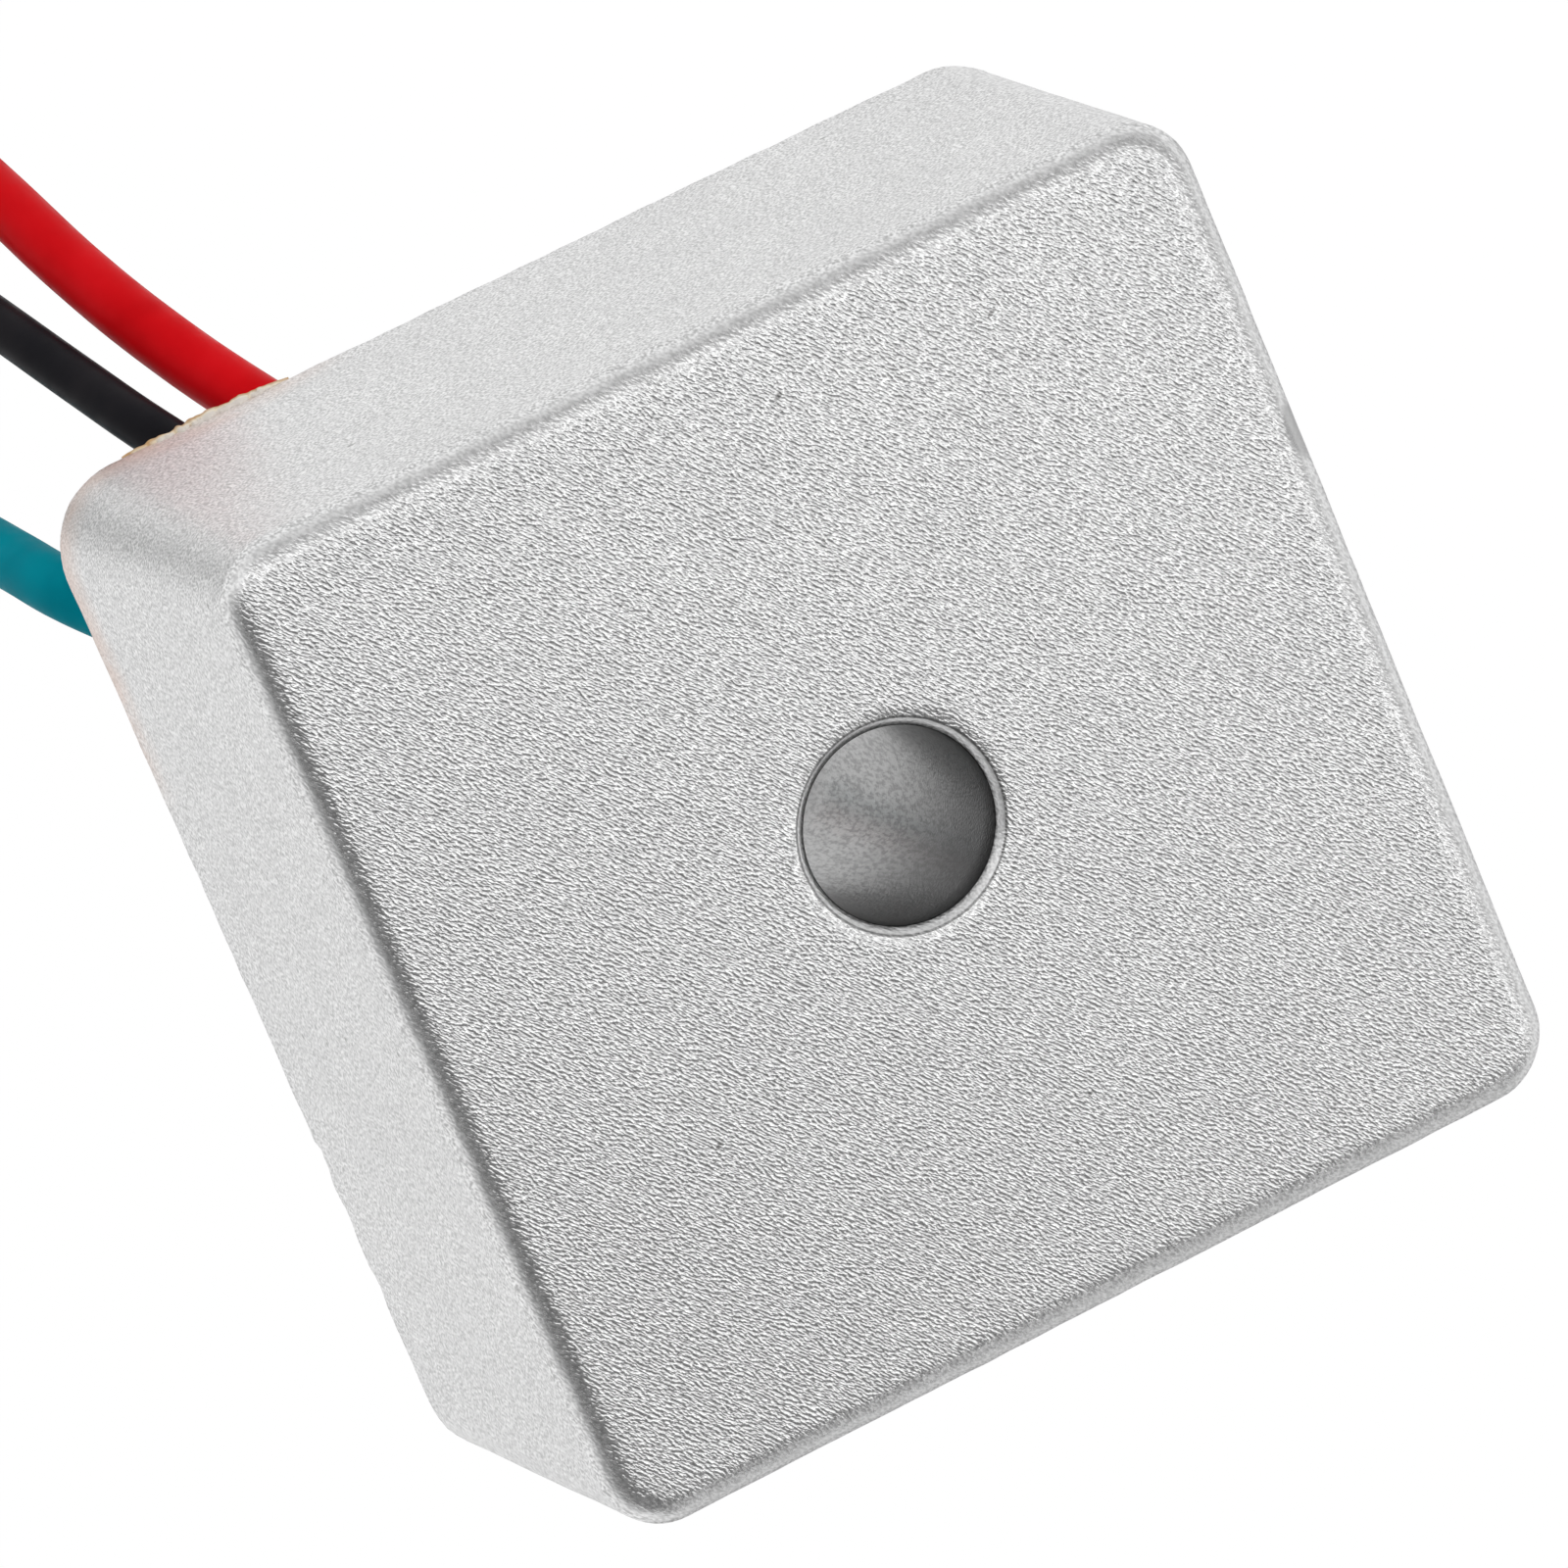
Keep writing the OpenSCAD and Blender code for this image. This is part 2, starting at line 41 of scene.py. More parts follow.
scene.view_settings.view_transform = "Standard"
MM = 0.001


# Camera, fitted to the photograph's outline

SENSOR_W, LENS = 36, 246.195
CLIP_NEAR, CLIP_FAR = 0.02, 50
CAMERA_AT = (112.84, -118.20, 441.65)
CAMERA_RIGHT = (-0.87108, 0.37909, 0.31227)
CAMERA_UP = (-0.43302, -0.89280, -0.12409)
CAMERA_BACK = (0.23176, -0.24331, 0.94185)


def make_camera():
    data = bpy.data.cameras.new("camera")
    data.sensor_width = SENSOR_W
    data.lens = LENS
    data.clip_start = CLIP_NEAR
    data.clip_end = CLIP_FAR
    camera = bpy.data.objects.new("camera", data)
    axes = Matrix((CAMERA_RIGHT, CAMERA_UP, CAMERA_BACK)).transposed()
    turn = axes.to_quaternion().to_matrix().to_4x4()
    camera.matrix_world = Matrix.Translation(Vector(CAMERA_AT) * MM) @ turn
    scene.collection.objects.link(camera)
    scene.camera = camera


make_camera()


# Sizes of the housing, in millimetres

FACE_HALF, RIM_HALF, DEPTH = 24.0, 25.0, 25.0
FACE_CORNER_R, RIM_CORNER_R = 3.1, 3.9
EDGE_R, EDGE_RUN = 1.0, 1.4
CAVITY_TOP, CAVITY_RIM, CAVITY_CORNER_R, FLOOR_T = 22.23, 22.6, 2.0, 4.0
POST_RIM_R, POST_TOP_R = 7.0, 7.55
BORE_R, CHAMFER = 4.45, 0.36
BORE_EDGE_R = BORE_R + CHAMFER + 0.06


# Colours, shader nodes, and a material made of them

def linear(red, green, blue):
    """An sRGB colour of 0 to 255 as the linear values that a shader takes."""
    out = []
    for level in (red, green, blue):
        c = level / 255
        out.append(c / 12.92 if c <= 0.04045 else ((c + 0.055) / 1.055) ** 2.4)
    return (*out, 1.0)


def grey(level):
    return linear(level, level, level)


def feed(tree, socket, value):
    """Links another node's output to a socket, or sets the socket's own value."""
    if isinstance(value, bpy.types.NodeSocket):
        tree.links.new(value, socket)
    else:
        socket.default_value = value


def add_node(tree, kind, inputs=None, **settings):
    node = tree.nodes.new(kind)
    for key, value in settings.items():
        setattr(node, key, value)
    for key, value in (inputs or {}).items():
        feed(tree, node.inputs[key], value)
    return node


def set_stops(ramp_node, stops):
    """Gives a colour ramp its stops, each a place and a colour."""
    marks = ramp_node.color_ramp.elements
    while len(marks) < len(stops):
        marks.new(0.5)
    for mark, (at, color) in zip(marks, stops):
        mark.position = at
        mark.color = color


class Look:
    """A node material: one Principled shader and the texture nodes that feed it."""

    def __init__(self, name, color, roughness, metallic=0.0, specular=0.5):
        self.mat = bpy.data.materials.new(name)
        self.mat.use_nodes = True
        self.tree = self.mat.node_tree
        self.shader = self.tree.nodes["Principled BSDF"]
        self.set("Base Color", color)
        self.set("Roughness", roughness)
        self.set("Metallic", metallic)
        self.set("Specular IOR Level", specular)
        self.place = self.add("ShaderNodeTexCoord").outputs["Object"]

    def set(self, name, value):
        feed(self.tree, self.shader.inputs[name], value)

    def add(self, kind, inputs=None, **settings):
        return add_node(self.tree, kind, inputs, **settings)

    def calc(self, operation, a, b=0.0):
        return self.add("ShaderNodeMath", {0: a, 1: b}, operation=operation).outputs[0]

    def times(self, a, b):
        return self.calc("MULTIPLY", a, b)

    def plus(self, a, b):
        return self.calc("ADD", a, b)

    def minus(self, a, b):
        return self.calc("SUBTRACT", a, b)

    def split(self, vector):
        return self.add("ShaderNodeSeparateXYZ", {0: vector}).outputs

    def length(self, vector):
        return self.add("ShaderNodeVectorMath", {0: vector}, operation="LENGTH").outputs["Value"]

    def noise(self, scale, detail=2.0, roughness=0.5, place=None):
        """Noise whose features are about 1 / scale metres across."""
        inputs = {"Vector": place or self.place, "Scale": scale, "Detail": detail, "Roughness": roughness}
        return self.add("ShaderNodeTexNoise", inputs).outputs["Fac"]

    def stretched(self, turn, scale):
        """Coordinates turned about Z by so many degrees and then scaled."""
        turned = self.add("ShaderNodeVectorRotate", {"Vector": self.place, "Angle": math.radians(-turn)})
        return self.add("ShaderNodeMapping", {"Vector": turned.outputs[0], "Scale": scale}).outputs[0]

    def span(self, value, low, high, to_low=0.0, to_high=1.0):
        """Eases from to_low to to_high while a value goes from low to high."""
        inputs = {"Value": value, "From Min": low, "From Max": high, "To Min": to_low, "To Max": to_high}
        return self.add("ShaderNodeMapRange", inputs, interpolation_type="SMOOTHSTEP").outputs["Result"]

    def fade(self, length, none_mm, full_mm):
        """Eases from 0 to 1 while a length goes from none_mm to full_mm."""
        return self.span(length, none_mm * MM, full_mm * MM)

    def near(self, centre_mm, reach_mm):
        """1 about a point and 0 past reach_mm from it along each axis."""
        shift = tuple(-c / r for c, r in zip(centre_mm, reach_mm))
        scale = tuple(1 / (r * MM) for r in reach_mm)
        moved = self.add("ShaderNodeMapping", {"Vector": self.place, "Location": shift, "Scale": scale})
        return self.span(self.length(moved.outputs[0]), 1.0, 0.6)

    def mix(self, share, a, b):
        return self.add("ShaderNodeMix", {0: share, 6: a, 7: b}, data_type="RGBA").outputs[2]

    def cover(self, base, mask, strength, color):
        """A base colour with another one over it, to a strength, where a mask is 1."""
        return self.mix(self.times(mask, strength), base, color)

    def ramp(self, value, *stops):
        node = self.add("ShaderNodeValToRGB", {"Fac": value})
        set_stops(node, stops)
        return node.outputs["Color"]

    def bump(self, height, depth_mm, strength):
        inputs = {"Height": height, "Distance": depth_mm * MM, "Strength": strength}
        self.set("Normal", self.add("ShaderNodeBump", inputs).outputs[0])


# Cast aluminium: the blasted skin, its pits, a pinkish tint by the leads and the drilled bore with painted
# shade and light

GRAIN_TURN, GRAIN_STRETCH, GRAIN_DEPTH = 129.0, (0.44, 1.0, 1.0), 0.043
WALL_GRIT = 0.56
PIT_TURN, PIT_STRETCH = 28.0, (0.45, 1.0, 1.0)
PINK_TINT_AT, PINK_TINT_REACH = (22.0, -22.0, -25.0), (14.0, 14.0, 7.0)
PINK_TINT_TOP, PINK_TINT_FULL = -21.2, -24.8
WORN_AT, WORN_REACH = (-23.75, -8.1, -0.4), (0.75, 1.7, 1.0)
# Painted shade and light in the bore: darkest at the first height and painted lighter down to the second
BORE_PAINTED_SHADE_Z, BORE_PAINTED_LIGHT_Z = -1.0, -17.0


def blasted_skin(look, grain, up, face):
    """Colour of the skin: speckled on the face, paler on the walls and burnished on the edges."""
    speckled = look.ramp(grain, (0.36, grey(188)), (0.50, grey(209)), (0.62, grey(224)))
    plain = look.ramp(grain, (0.36, grey(180)), (0.50, grey(216)), (0.63, grey(245)))
    body = look.mix(face, plain, speckled)
    burnished = look.minus(look.span(up, 0.5, 0.8), face)
    body = look.cover(body, burnished, 0.45, grey(250))
    clouds = look.span(look.noise(120, 3.0, 0.5), 0.35, 0.7, 0.0, 0.12)
    return look.mix(clouds, body, linear(196, 196, 197))


def pits(look):
    """1 in the small pits, which half of the cells have at their middle."""
    inputs = {"Vector": look.stretched(PIT_TURN, PIT_STRETCH), "Scale": 400.0}
    cells = look.add("ShaderNodeTexVoronoi", inputs).outputs
    chosen = look.span(cells["Color"], 0.5, 0.52)
    return look.times(look.span(cells["Distance"], 0.062, 0.03), chosen)


def lead_pink_tint(look, height):
    """1 at the foot of the walls by the leads, in patches, where they take a pinkish tint."""
    low = look.fade(height, PINK_TINT_TOP, PINK_TINT_FULL)
    patches = look.span(look.noise(420, 3.0, 0.6), 0.3, 0.6, 0.4, 1.0)
    return look.times(look.times(low, look.near(PINK_TINT_AT, PINK_TINT_REACH)), patches)


def bore_wall_painted_shade(look, height):
    """Colour of the bore's wall, with painted shade and light: dark near the face and lighter further down,
    with dark marks.
    """
    down = look.fade(height, BORE_PAINTED_SHADE_Z, BORE_PAINTED_LIGHT_Z)
    wall = look.mix(down, grey(88), grey(170))
    marks = look.noise(5200, 2.0, 0.6, look.stretched(0.0, (1.0, 1.0, 0.3)))
    return look.mix(look.span(marks, 0.6, 0.36, 0.0, 0.5), wall, grey(70))


def cast_aluminium():
    look = Look("cast_aluminium", grey(205), 0.42, metallic=1.0)
    up = look.split(look.add("ShaderNodeNewGeometry").outputs["Normal"])["Z"]
    height = look.split(look.place)["Z"]
    flat = look.add("ShaderNodeVectorMath", {0: look.place, 1: (1.0, 1.0, 0.0)}, operation="MULTIPLY")
    radius = look.length(flat.outputs[0])
    face = look.span(up, 0.78, 0.975)
    bore = look.fade(radius, BORE_R + 0.06, BORE_R + 0.01)
    worn = look.near(WORN_AT, WORN_REACH)
    off_edge = look.calc("ABSOLUTE", look.minus(radius, BORE_EDGE_R * MM))
    burr = look.times(look.fade(off_edge, 0.09, 0.03), face)
    coarse = look.noise(8700, 0.8, 0.5, look.stretched(GRAIN_TURN, GRAIN_STRETCH))
    fine = look.noise(15000, 2.0, 0.6)
    grain = look.plus(look.times(coarse, 0.85), look.times(fine, 0.15))
    body = blasted_skin(look, grain, up, face)
    body = look.cover(body, pits(look), 0.7, linear(120, 119, 117))
    body = look.cover(body, lead_pink_tint(look, height), 0.6, linear(222, 196, 182))
    body = look.cover(body, worn, 0.8, grey(186))
    # The bore's wall takes its painted shade near the face and painted light further down
    body = look.mix(bore, body, bore_wall_painted_shade(look, height))
    body = look.cover(body, burr, 0.75, grey(96))
    look.set("Base Color", body)
    grit = look.plus(look.times(face, 1 - WALL_GRIT), WALL_GRIT)
    look.bump(grain, GRAIN_DEPTH, look.times(grit, look.minus(1.0, worn)))
    rough = look.plus(look.span(fine, 0.3, 0.7, 0.16, 0.23), look.span(up, 0.99, 0.8, 0.0, 0.18))
    look.set("Roughness", look.minus(rough, look.times(bore, 0.06)))
    return look.mat


# Resin: cracked and cloudy, with a pale film and a brown seam on the rim's outer edge

FILM_Z, FILM_Y = (-24.58, -24.46), (-24.6, -24.8)
SEAM_Z, SEAM_Y = (-24.56, -24.74), (-24.3, -24.7)


def resin():
    look = Look("potting", linear(222, 202, 160), 0.42, specular=0.45)
    cloud = look.noise(260, 4.0, 0.6)
    crack = look.noise(1500, 5.0, 0.7)
    at = look.split(look.place)
    ragged = look.plus(look.times(look.noise(700, 2.0, 0.5), 0.5 * MM), at["Z"])
    film = look.times(look.fade(ragged, *FILM_Z), look.fade(at["Y"], *FILM_Y))
    seam = look.times(look.fade(ragged, *SEAM_Z), look.fade(at["Y"], *SEAM_Y))
    body = look.ramp(cloud, (0.3, linear(216, 196, 160)), (0.5, linear(232, 218, 194)),
                     (0.7, linear(240, 232, 218)))
    body = look.mix(look.span(crack, 0.42, 0.34), body, linear(158, 124, 74))
    body = look.cover(body, film, 0.85, linear(218, 210, 203))
    body = look.cover(body, seam, 0.85, linear(190, 144, 86))
    look.set("Base Color", body)
    look.set("Roughness", look.span(cloud, 0.3, 0.7, 0.34, 0.55))
    look.bump(look.plus(cloud, look.times(crack, 0.5)), 0.35, 0.7)
    return look.mat


# Materials of the leads, terminals and sleeves

def insulation(name, dark, main, light, sheen):
    """Extruded lead insulation: a little colour drift, faint length-wise draw marks and an uneven sheen."""
    dark, main, light = linear(*dark), linear(*main), linear(*light)
    look = Look(name, main, 0.4, specular=sheen)
    drift = look.noise(180, 3.0, 0.55)
    marks = look.noise(2600, 2.0, 0.5, look.stretched(0.0, (1.0, 1.0, 0.06)))
    look.set("Base Color", look.ramp(drift, (0.3, dark), (0.5, main), (0.72, light)))
    look.set("Roughness", look.span(look.noise(900), 0.3, 0.7, 0.34, 0.48))
    look.bump(look.plus(marks, look.times(drift, 0.6)), 0.03, 0.35)
    return look.mat


def tinned_metal():
    look = Look("tinned_metal", linear(214, 212, 206), 0.3, metallic=1.0)
    cloud = look.noise(500, 4.0, 0.6)
    scratch = look.noise(5200, 2.0, 0.6, look.stretched(8.0, (1.0, 1.0, 0.08)))
    look.set("Base Color", look.ramp(cloud, (0.3, linear(186, 183, 176)), (0.6, linear(220, 218, 212))))
    look.set("Roughness", look.span(cloud, 0.3, 0.7, 0.24, 0.42))
    look.bump(look.plus(look.times(cloud, 0.5), scratch), 0.02, 0.5)
    return look.mat


def shrink_sleeve():
    look = Look("sleeve", linear(30, 30, 31), 0.5, specular=0.4)
    cloud = look.noise(1100, 3.0, 0.6)
    look.set("Base Color", look.ramp(cloud, (0.35, linear(22, 22, 23)), (0.65, linear(44, 44, 46))))
    look.set("Roughness", look.span(cloud, 0.3, 0.7, 0.42, 0.6))
    look.bump(cloud, 0.05, 0.5)
    return look.mat


# Looks inside the potting: name, three colours, roughness, noise scale, metal share, nodes that take it

INNER_LOOKS = (
    ("board", (18, 70, 34), (28, 96, 48), (44, 120, 62), 0.4, 700, 0.0, ("circuit_board",)),
    ("solder", (150, 150, 152), (186, 186, 188), (212, 212, 214), 0.35, 900, 1.0, ("solder_joints",)),
    ("thermal_pad", (140, 146, 152), (160, 166, 172), (176, 182, 188), 0.75, 1500, 0.0,
     ("thermal_pad_a", "thermal_pad_b")),
    ("moulding", (26, 26, 27), (36, 36, 37), (50, 50, 52), 0.6, 2600, 0.0,
     ("thyristor_a_body", "thyristor_b_body", "control_transistor")),
    ("plated_frame", (176, 176, 176), (204, 204, 204), (220, 220, 220), 0.32, 800, 1.0,
     ("thyristor_a_frame", "thyristor_b_frame")),
    ("diode", (20, 20, 21), (30, 30, 31), (46, 46, 47), 0.45, 1800, 0.0,
     ("rectifier_diode_a", "rectifier_diode_b")),
    ("zener", (150, 66, 22), (196, 98, 40), (214, 124, 62), 0.25, 1200, 0.0, ("zener_diode",)),
    ("resistor", (176, 148, 108), (202, 176, 134), (216, 194, 156), 0.32, 1600, 0.0,
     ("gate_resistor_a", "gate_resistor_b", "divider_resistor_upper", "divider_resistor_lower")),
    ("capacitor", (16, 22, 58), (26, 34, 80), (42, 52, 104), 0.3, 1100, 0.0, ("filter_capacitor",)),
    ("copper", (168, 96, 60), (204, 126, 84), (226, 156, 112), 0.35, 2200, 1.0,
     ("red_core", "black_core", "teal_core")),
)
SPECKLE_DEPTH = 0.03


def speckle(name, dark, main, light, roughness, scale, metallic):
    """Moulded, printed or plated surface of a piece inside the potting."""
    dark, main, light = linear(*dark), linear(*main), linear(*light)
    look = Look(name, main, roughness, metallic)
    cloud = look.noise(scale, 4.0, 0.6)
    look.set("Base Color", look.ramp(cloud, (0.3, dark), (0.5, main), (0.7, light)))
    look.set("Roughness", look.span(cloud, 0.3, 0.7, roughness - 0.08, roughness + 0.1))
    look.bump(cloud, SPECKLE_DEPTH, 0.5)
    return look.mat


def dress_nodes():
    """The pieces sealed in the potting keep their CAD shape and take a material each."""
    for *surface, taken_by in INNER_LOOKS:
        mat = speckle(*surface)
        for node in taken_by:
            data = nodes[node].data
            data.materials.clear()
            data.materials.append(mat)


# Mesh helpers

def piece(name, verts_mm, faces, mat):
    data = bpy.data.meshes.new(name)
    data.from_pydata([tuple(c * MM for c in v) for v in verts_mm], [], faces)
    data.update()
    data.shade_smooth()
    data.materials.append(mat)
    obj = bpy.data.objects.new(name, data)
    scene.collection.objects.link(obj)
    return obj


def skin(loops, closed=False, caps=False):
    """Points, and quads between neighbouring loops of equal length.

    closed joins the last loop to the first one, and caps fills both of them.
    """
    count, size = len(loops), len(loops[0])
    faces = []
    for i in range(count if closed else count - 1):
        j = (i + 1) % count
        for k in range(size):
            n = (k + 1) % size
            faces.append((i * size + k, j * size + k, j * size + n, i * size + n))
    if caps:
        last = (count - 1) * size
        faces.append(tuple(range(size)))
        faces.append(tuple(range(last + size - 1, last - 1, -1)))
    return [tuple(p) for loop in loops for p in loop], faces


def joined(*skins):
    """Several skins as one list of points and one of faces."""
    verts, faces = [], []
    for more_verts, more_faces in skins:
        first = len(verts)
        faces += [tuple(first + v for v in face) for face in more_faces]
        verts += more_verts
    return verts, faces


def lump(x, y, z, size_mm, seed):
    """Smooth noise of about -1 to 1 with lumps of that size."""
    return noise.noise(Vector((x / size_mm + seed, y / size_mm - 2 * seed, z / size_mm + 3 * seed)))


def ease(t):
    """A smooth step from 0 to 1."""
    return t * t * (3 - 2 * t)


def between(outer, inner, share):
    return [tuple(o + (i - o) * share for o, i in zip(p, q)) for p, q in zip(outer, inner)]


# Loops of equal length: rounded squares, and circles whose points face theirs

SIDE_POINTS, ARC_POINTS = 84, 12
QUARTER_TURNS = ((1, 0), (0, 1), (-1, 0), (0, -1))


def square_loop(half, r, z):
    """A rounded square, anticlockwise seen from above."""
    flat = half - r
    quarter = [(half, -flat + 2 * flat * i / SIDE_POINTS) for i in range(SIDE_POINTS)]
    for i in range(ARC_POINTS):
        a = math.pi / 2 * i / ARC_POINTS
        quarter.append((flat + r * math.cos(a), flat + r * math.sin(a)))
    out = []
    for c, s in QUARTER_TURNS:
        out += [(c * x - s * y, s * x + c * y, z) for x, y in quarter]
    return out


BEARINGS = [math.atan2(y, x) for x, y, _ in square_loop(FACE_HALF, (FACE_CORNER_R + RIM_CORNER_R) / 2, 0)]


def round_loop(r, z):
    return [(r * math.cos(a), r * math.sin(a), z) for a in BEARINGS]


# Housing: one closed skin of loops that runs over the face, the walls, the cavity, the post and the bore

FACE_SHARES = (1.0, 0.97, 0.9, 0.8, 0.7, 0.6, 0.5, 0.4, 0.3, 0.2, 0.12, 0.06, 0.03)
EDGE_STEPS = 12
WALL_HEIGHTS = (-1.6, -3, -6, -9, -12, -15, -18, -21, -23, -24.2)
CAVITY_HEIGHTS = (-20, -12, -5.2)
POST_HEIGHTS = (-12, -20, -24.6)

# Small roundings: steps inward and upward at the rim, and steps inward, tighter and downward at the floor
RIM_OUTSIDE = ((0.0, 0.28), (0.03, 0.14), (0.1, 0.05), (0.22, 0.0))
RIM_INSIDE = ((1.2, 0.0), (2.25, 0.0), (2.36, 0.05), (2.4, 0.18), (2.41, 0.6))
RIM_INSIDE_EASE = 0.45
FLOOR_EDGE = ((0.25, 0.2, 0.3), (0.8, 0.5, 0.0))

# Radius and height of the post's foot and end, and of the slightly drafted bore behind its chamfer
POST_FOOT = ((POST_TOP_R + 0.4, -FLOOR_T), (POST_TOP_R, -FLOOR_T - 0.3))
POST_END = (
    (POST_RIM_R - 0.06, 0.15 - DEPTH), (POST_RIM_R - 0.2, -DEPTH), (POST_RIM_R - 1.0, -DEPTH),
    (BORE_R + 0.07, -DEPTH),
)
BORE_WALL = (
    (BORE_R - 0.07, 0.01 - DEPTH), (BORE_R - 0.1, 0.05 - DEPTH), (BORE_R - 0.09, -22), (BORE_R - 0.07, -18),
    (BORE_R - 0.05, -12), (BORE_R - 0.02, -6), (BORE_R - 0.01, -2), (BORE_R, -0.42), (BORE_R + 0.02, -0.34),
    (BORE_R + CHAMFER - 0.02, -0.03),
)


def wall_half(z):
    return FACE_HALF + (RIM_HALF - FACE_HALF) * -z / DEPTH


def wall_corner(z):
    return FACE_CORNER_R + (RIM_CORNER_R - FACE_CORNER_R) * -z / DEPTH


def face_loops():
    bore_edge = round_loop(BORE_EDGE_R, 0)
    face_edge = square_loop(FACE_HALF - EDGE_RUN, FACE_CORNER_R - EDGE_RUN, 0)
    return [between(face_edge, bore_edge, share) for share in FACE_SHARES]


def wall_loops():
    """The rounded edge, which runs easily into the face, and the drafted walls below it."""
    loops = []
    for i in range(EDGE_STEPS + 1):
        a = math.pi / 2 * i / EDGE_STEPS
        inset = EDGE_RUN * (1 - math.sin(a))
        z = -EDGE_R * (1 - math.cos(a))
        loops.append(square_loop(wall_half(z) - inset, wall_corner(z) - inset, z))
    for z in WALL_HEIGHTS:
        loops.append(square_loop(wall_half(z), wall_corner(z), z))
    return loops


def rim_loops():
    loops = []
    for inset, up in RIM_OUTSIDE:
        loops.append(square_loop(RIM_HALF - inset, RIM_CORNER_R - inset, up - DEPTH))
    for inset, up in RIM_INSIDE:
        loops.append(square_loop(RIM_HALF - inset, RIM_CORNER_R - inset + RIM_INSIDE_EASE, up - DEPTH))
    return loops


def cavity_loops():
    loops = []
    for z in CAVITY_HEIGHTS:
        half = CAVITY_RIM + (CAVITY_TOP - CAVITY_RIM) * (z + DEPTH) / (DEPTH - FLOOR_T)
        loops.append(square_loop(half, CAVITY_CORNER_R, z))
    for inset, tighter, down in FLOOR_EDGE:
        loops.append(square_loop(CAVITY_TOP - inset, CAVITY_CORNER_R - tighter, -FLOOR_T - down))
    return loops


def post_loops():
    loops = [round_loop(r, z) for r, z in POST_FOOT]
    for z in POST_HEIGHTS:
        r = POST_TOP_R + (POST_RIM_R - POST_TOP_R) * (z + FLOOR_T) / (FLOOR_T - DEPTH)
        loops.append(round_loop(r, z))
    return loops + [round_loop(r, z) for r, z in POST_END + BORE_WALL]


def make_housing(mat):
    loops = face_loops() + wall_loops() + rim_loops() + cavity_loops() + post_loops()
    verts, faces = skin(loops, closed=True)
    return piece("housing_shell", [settle_wall(v) for v in verts], faces, mat)


# Marks of casting and handling: waves by height, lump size and seed, nicks by place, width and depth

OUTER_SKIN_FROM = 22.7
BROAD_WAVE, SMALL_WAVE = (0.035, 7.0, 1.3), (0.02, 1.6, 4.1)
EDGE_WAVE, EDGE_WAVE_Z, EDGE_WAVE_REACH = (0.035, 0.9, 7.7), -0.4, 0.9
RIM_WAVE, RIM_WAVE_BELOW = (0.04, 1.1, 2.9), -24.3
NICKS = ((8.2, 0.4, 0.13), (9.1, 0.35, 0.06), (11.4, 1.1, 0.06), (15.0, 0.9, 0.07))
NICK_SIDE, NICK_BELOW, NICK_FADE = 24, -24.0, 0.7


def waved(v, height, size_mm, seed):
    return height * lump(*v, size_mm, seed)


def settle_wall(v):
    """Moves a point of the outer skin by its waves, and by the nicks on the +X side of the rim."""
    x, y, z = v
    out = max(abs(x), abs(y))
    if out < OUTER_SKIN_FROM:
        return v
    edge = max(0.0, 1 - abs(z - EDGE_WAVE_Z) / EDGE_WAVE_REACH)
    wave = waved(v, *BROAD_WAVE) + waved(v, *SMALL_WAVE) + edge * waved(v, *EDGE_WAVE)
    if z < RIM_WAVE_BELOW:
        wave += waved(v, *RIM_WAVE)
    scale = 1 + wave / out
    x, y = x * scale, y * scale
    if x > NICK_SIDE and z < NICK_BELOW:
        for at, wide, deep in NICKS:
            dent = max(0.0, 1 - ((y - at) / wide) ** 2) * min(1.0, (NICK_BELOW - z) / NICK_FADE)
            x -= deep * dent
            z += 0.5 * deep * dent
    return x, y, z


# Potting: the fill with its climb up the walls, the gob round the black lead and the crust on the rim's edge

FILL_Z, SUNK_Z = -24.5, -21.5
FILL_HALF, FILL_CORNER_R, FILL_POST_R = CAVITY_RIM - 0.015, 2.3, POST_RIM_R + 0.03
FILL_SHARES = (
    0.0, 0.012, 0.03, 0.055, 0.09, 0.14, 0.2, 0.27, 0.35, 0.43, 0.52, 0.61, 0.7, 0.78, 0.86, 0.92, 0.96,
    0.985, 1.0,
)
WALL_CLIMB, POST_CLIMB = (0.32, 0.7), (0.25, 0.6)
BROAD_RIPPLE, SMALL_RIPPLE = (0.10, 6.0, 3.3), (0.04, 1.7, 5.1)
TEAL_MOUND_AT, TEAL_MOUND_R, TEAL_MOUND_H = (20.4, -15.3), 1.9, 0.9


def climb(gap, height, reach):
    return height * math.exp(-max(gap, 0) / reach)


def fill_height(x, y):
    """How far the resin stands below its level, at a place."""
    wall_gap = min(CAVITY_RIM - abs(x), CAVITY_RIM - abs(y))
    post_gap = math.hypot(x, y) - POST_RIM_R
    mound_off = math.hypot(x - TEAL_MOUND_AT[0], y - TEAL_MOUND_AT[1])
    height = climb(wall_gap, *WALL_CLIMB) + climb(post_gap, *POST_CLIMB)
    height += waved((x, y, 0), *BROAD_RIPPLE) + waved((x, y, 0), *SMALL_RIPPLE)
    return height + TEAL_MOUND_H * math.exp(-(mound_off / TEAL_MOUND_R) ** 2)


def fill_loops():
    wall = square_loop(FILL_HALF, FILL_CORNER_R, SUNK_Z)
    post = round_loop(FILL_POST_R, SUNK_Z)
    loops = [wall]
    for share in FILL_SHARES:
        loops.append([(x, y, FILL_Z - fill_height(x, y)) for x, y, _ in between(wall, post, share)])
    loops.append(post)
    return loops


GOB_AT, GOB_R, GOB_H = (16.35, -22.45), 5.2, 2.2
GOB_LEVEL, GOB_BASE, GOB_STOP_Y = -24.9, -23.8, -24.5
GOB_RINGS, GOB_POINTS = 18, 64


